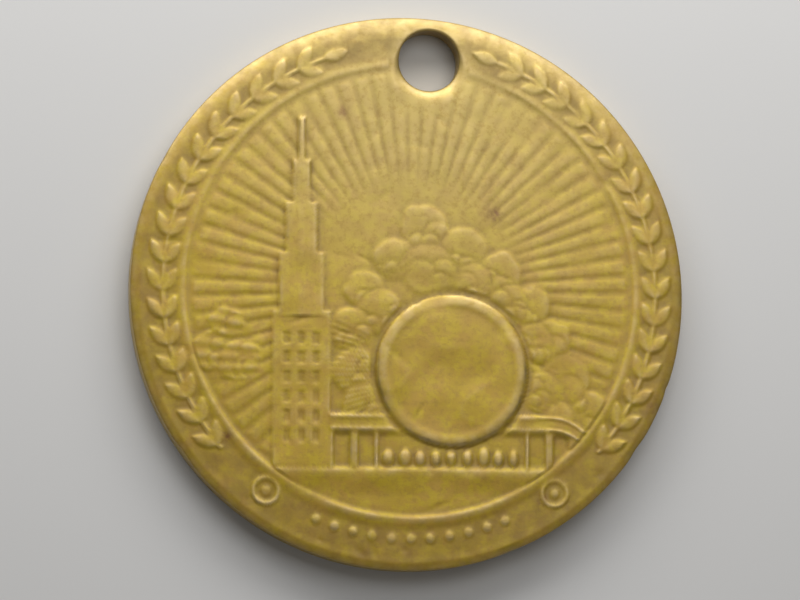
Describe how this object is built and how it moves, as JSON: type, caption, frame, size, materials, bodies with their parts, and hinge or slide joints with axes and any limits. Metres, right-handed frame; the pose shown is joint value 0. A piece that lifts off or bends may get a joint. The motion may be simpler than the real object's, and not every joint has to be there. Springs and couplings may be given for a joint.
{
  "type": "transit token",
  "caption": "Round struck brass fare token with an upset rim, a hanging hole near its edge and low relief on both faces.",
  "frame": {"origin": "middle of the token's outline, in the plane of the reverse rim that it lies on", "axes": "+Z out of the obverse, along the axis of the hanging hole; +Y is the way up of both struck pictures, with the hole near its top"},
  "size_m": [0.0286, 0.0286, 0.0018],
  "materials": {
    "brass": "worn struck brass with a dull olive patina"
  },
  "bodies": {
    "root": {"token": "brass"}
  },
  "joints": []
}
